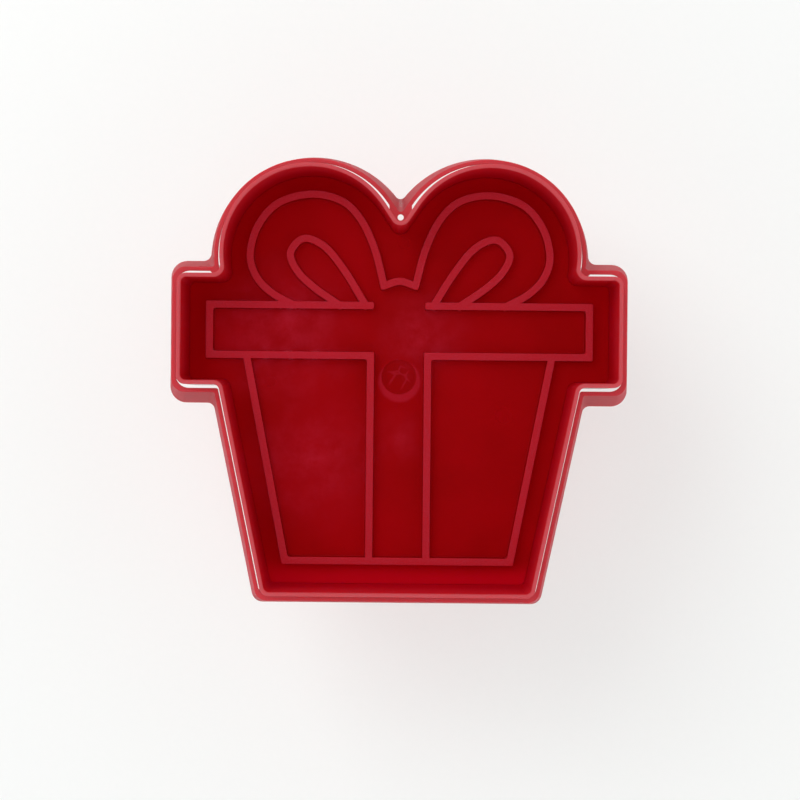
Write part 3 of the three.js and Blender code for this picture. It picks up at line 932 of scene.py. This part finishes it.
def red_plastic(name, deep, clear, matte, matte_above, matte_roughness, shine):
    """Translucent red moulded plastic. Faces above matte_above have the mould's eroded grain."""
    made = Nodes(name)
    shader = made.shader
    on_top = made.ramp(made.along("Z"), matte_above - 0.06, matte_above)
    clouds = made.ramp(made.noise(CLOUDS, detail=3), 0.3, 0.7)
    grain = made.noise(GRAIN, detail=4, roughness=0.65)
    grained = made.maths("MULTIPLY", on_top, made.ramp(grain, 0.25, 0.75, 0.6, 1.0))
    made.colour = made.mix(grained, made.mix(clouds, deep, clear), matte)
    made.put(shader.inputs["Base Color"], made.colour)

    scuffs = made.ramp(made.noise(SCUFFS, detail=5, roughness=0.6), 0.5, 0.8, 0.0, 0.06)
    satin = made.ramp(made.slope(), 0.05, 0.11, GLOSS_ROUGHNESS, SKIRT_ROUGHNESS)
    made.roughness = made.blend(on_top, made.maths("ADD", satin, scuffs), matte_roughness)
    made.put(shader.inputs["Roughness"], made.roughness)
    made.put(shader.inputs["Normal"], made.bump(made.maths("MULTIPLY", grain, on_top), 0.5, 0.08))

    shader.inputs["IOR"].default_value = PLASTIC_IOR
    shader.inputs["Specular IOR Level"].default_value = shine
    shader.inputs["Subsurface Weight"].default_value = 0.5
    shader.inputs["Subsurface Radius"].default_value = (1.0, 0.04, 0.04)
    shader.inputs["Subsurface Scale"].default_value = 2.4 * MM
    return made


def cutter_plastic():
    """The cutter's plastic: the wall's upper part is painted lighter for the light that shines
    through it, and faces that lean up, the skirt above all, are painted paler as a sheen.
    """
    made = red_plastic(
        "cutter_plastic", CUTTER_DEEP, CUTTER_CLEAR, CUTTER_RIM,
        matte_above=RIM_Z - 0.01, matte_roughness=0.72, shine=0.12,
    )
    sheen_share = 0.55
    wall = made.ramp(made.slope(), 0.09, 0.13, 1.0, 0.0)
    # Painted light: the wall's upper part gets a lighter colour for the light that shines through the
    # thin rim.
    lit = made.maths("MULTIPLY", made.ramp(made.along("Z"), 41, RIM_Z + 1), wall)
    # Painted sheen: faces that lean up, the skirt above all, get a paler colour for the light they
    # catch.
    upward_sheen = made.maths("MULTIPLY_ADD", wall, -sheen_share, add=sheen_share)
    colour = made.mix(upward_sheen, made.mix(lit, made.colour, CUTTER_LIT), CUTTER_SHEEN)
    made.put(made.shader.inputs["Base Color"], colour)
    return made.material


# Places in the plate's face with a pale bloom: (centre, radius, softness).
BLOOM_SPOTS = (((4, 8), 5, 6), ((-20, 8), 9, 7), ((-15, -14), 7, 9), ((0, -10), 2, 4))


def plate_bloom(made):
    """A cloudy pale bloom in a few places."""
    bloom = made.spot(*BLOOM_SPOTS[0])
    for place in BLOOM_SPOTS[1:]:
        bloom = made.maths("MAXIMUM", bloom, made.spot(*place))
    cloudy = made.ramp(made.noise(BLOOM, detail=6, roughness=0.7), 0.35, 0.75, 0.1, 0.6)
    return made.maths("MULTIPLY", bloom, cloudy)


def sink_wrinkle(made):
    """Fine pale wrinkles over the boss's sink mark."""
    cells_for_each_mm = 0.42
    cells = made.add("ShaderNodeTexVoronoi", Vector=made.place, Scale=cells_for_each_mm)
    cells.feature = "DISTANCE_TO_EDGE"
    line = made.ramp(cells.outputs["Distance"], 0.0, 0.1, 0.38, 0.0)
    return made.maths("MULTIPLY", line, made.spot(AXIS, 2.0, 0.5))


def plate_plastic():
    """The plate's plastic, with a bloom in places, painted light on its lower margin by the wall, and
    its sink mark's colours.
    """
    made = red_plastic(
        "plate_plastic", PLATE_DEEP, PLATE_CLEAR, PLATE_LINES,
        matte_above=PLATE_Z + RIDGE_HEIGHT - 0.05, matte_roughness=0.65, shine=0.07,
    )
    bloom = plate_bloom(made)
    sink = made.spot(AXIS, SINK_RADIUS, 0.15)
    around = made.spot((0.1, AXIS_Y - 0.7), 3.6, 0.3)
    crescent = made.maths("MULTIPLY", made.maths("SUBTRACT", around, sink), 0.45)
    pale = made.maths("MAXIMUM", made.maths("MAXIMUM", bloom, sink_wrinkle(made)), crescent)
    # Painted light: the plate's lower margin by the wall gets a lighter colour for light that comes
    # through the wall.
    foot = made.ramp(made.along("Y"), -30.5, -34.5)
    field = made.mix(foot, made.colour, PLATE_EDGE_LIGHT)
    field = made.mix(made.maths("MULTIPLY", sink, 0.35), field, PLATE_SINK)
    made.put(made.shader.inputs["Base Color"], made.mix(pale, field, PLATE_BLOOM))
    roughness = made.maths("MULTIPLY_ADD", bloom, 0.3, add=made.roughness)
    made.put(made.shader.inputs["Roughness"], roughness)
    return made.material


def knob_plastic():
    """The knob's, cap's and stem's plastic, glossy all over."""
    made = red_plastic(
        "knob_plastic", KNOB_DEEP, KNOB_CLEAR, KNOB_CLEAR,
        matte_above=RIM_Z, matte_roughness=0.3, shine=0.3,
    )
    return made.material


def steel(name, colour, roughness, streaks):
    """Drawn or plated steel with fine streaks."""
    made = Nodes(name)
    shader = made.shader
    lines = made.noise(BRUSHING, detail=5, roughness=0.7, stretch=streaks)
    darker = tuple(channel * 0.72 for channel in colour[:3]) + (1,)
    made.put(shader.inputs["Base Color"], made.mix(made.ramp(lines, 0.3, 0.7), darker, colour))
    made.put(shader.inputs["Roughness"], made.ramp(lines, 0.25, 0.75, roughness, roughness + 0.15))
    made.put(shader.inputs["Normal"], made.bump(lines, 0.3, 0.03))
    shader.inputs["Metallic"].default_value = 1
    return made.material


def floor_material():
    """Matte white board with a barely visible tooth."""
    made = Nodes("floor_board")
    tooth = made.noise(TOOTH, detail=5, roughness=0.6)
    made.put(made.shader.inputs["Base Color"], made.mix(tooth, BOARD, BOARD_TOOTH))
    made.put(made.shader.inputs["Roughness"], made.ramp(tooth, 0.3, 0.7, 0.75, 0.9))
    return made.material


# ---------------------------------------------------------------- stage

def floor():
    made = rod(radius=1500, bottom=-2, top=0)
    made.name = "floor"
    made.data.materials.append(floor_material())


def camera():
    """Looks straight down at the cutting side, from a little off the middle."""
    distance = 294
    off_middle = (-1.52, -0.79)
    turn = math.radians(0.55)
    data = bpy.data.cameras.new("camera")
    data.lens = 80
    data.sensor_width = 36
    data.shift_x = 0.0125
    data.shift_y = -0.01875
    data.clip_start = 0.01
    data.clip_end = 10
    made = bpy.data.objects.new("camera", data)
    made.location = np.array([*off_middle, RIM_Z + distance]) * MM
    made.rotation_euler = (0, 0, turn)
    bpy.context.collection.objects.link(made)
    bpy.context.scene.camera = made


def key_light():
    """A square soft lamp, up on the left behind the press and aimed at it."""
    place = np.array([-400, 400, 700]) * MM
    aim = np.array([0, 0, 30]) * MM
    data = bpy.data.lights.new("key", "AREA")
    data.energy = 1.7
    data.size = 500 * MM
    data.color = (0.98, 1, 0.99)
    made = bpy.data.objects.new("key", data)
    made.location = place
    made.rotation_euler = Vector(aim - place).to_track_quat("-Z", "Y").to_euler()
    made.visible_camera = False
    bpy.context.collection.objects.link(made)


def fill_light():
    """Even light from above without shadows or mirror images, as in a bright tent."""
    data = bpy.data.lights.new("fill", "SUN")
    data.energy = 1.75
    data.color = (0.985, 1, 0.995)
    data.angle = math.radians(40)
    data.use_shadow = False
    made = bpy.data.objects.new("fill", data)
    made.visible_glossy = False
    bpy.context.collection.objects.link(made)


def studio_world():
    """A pale room that is dark straight overhead, where the camera and its holder are."""
    world = bpy.data.worlds.new("studio")
    world.use_nodes = True
    bpy.context.scene.world = world
    tree = world.node_tree
    direction = tree.nodes.new("ShaderNodeTexCoord").outputs["Generated"]
    split = tree.nodes.new("ShaderNodeSeparateXYZ")
    tree.links.new(direction, split.inputs["Vector"])
    strength = smooth_step(tree, split.outputs["Z"], low=0.6, high=0.9, start=1.0, end=0.0)
    background = tree.nodes["Background"]
    tree.links.new(strength, background.inputs["Strength"])
    background.inputs["Color"].default_value = ROOM


camera()
floor()
studio_world()
key_light()
fill_light()
bpy.context.scene.view_settings.view_transform = "Standard"

plastic = knob_plastic()
screw_steel = steel("screw_steel", SCREW_STEEL, roughness=0.25, streaks=(1, 1, 0.15))
spring_steel = steel("spring_steel", SPRING_STEEL, roughness=0.2, streaks=(0.3, 0.3, 1))
finish_piece(cutter_body(), "cutter", "cutter", cutter_plastic(), "cutter_body")
finish_piece(press_plate(), "plate", "plunger", plate_plastic(), "press_plate")
finish_piece(plunger_knob(), "knob", "plunger", plastic, "plunger_knob")
finish_piece(knob_cap(), "cap", "plunger", plastic, "knob_cap")
finish_piece(plunger_stem(), "stem", "plunger", plastic, "plunger_stem")
finish_piece(plate_screw(), "screw", "plunger", screw_steel, "plate_screw")
finish_piece(screw_washer(), "washer", "plunger", screw_steel, "screw_washer")
spring = finish_piece(
    return_spring(), "spring", "cutter", spring_steel, "return_spring"
)

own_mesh(spring)
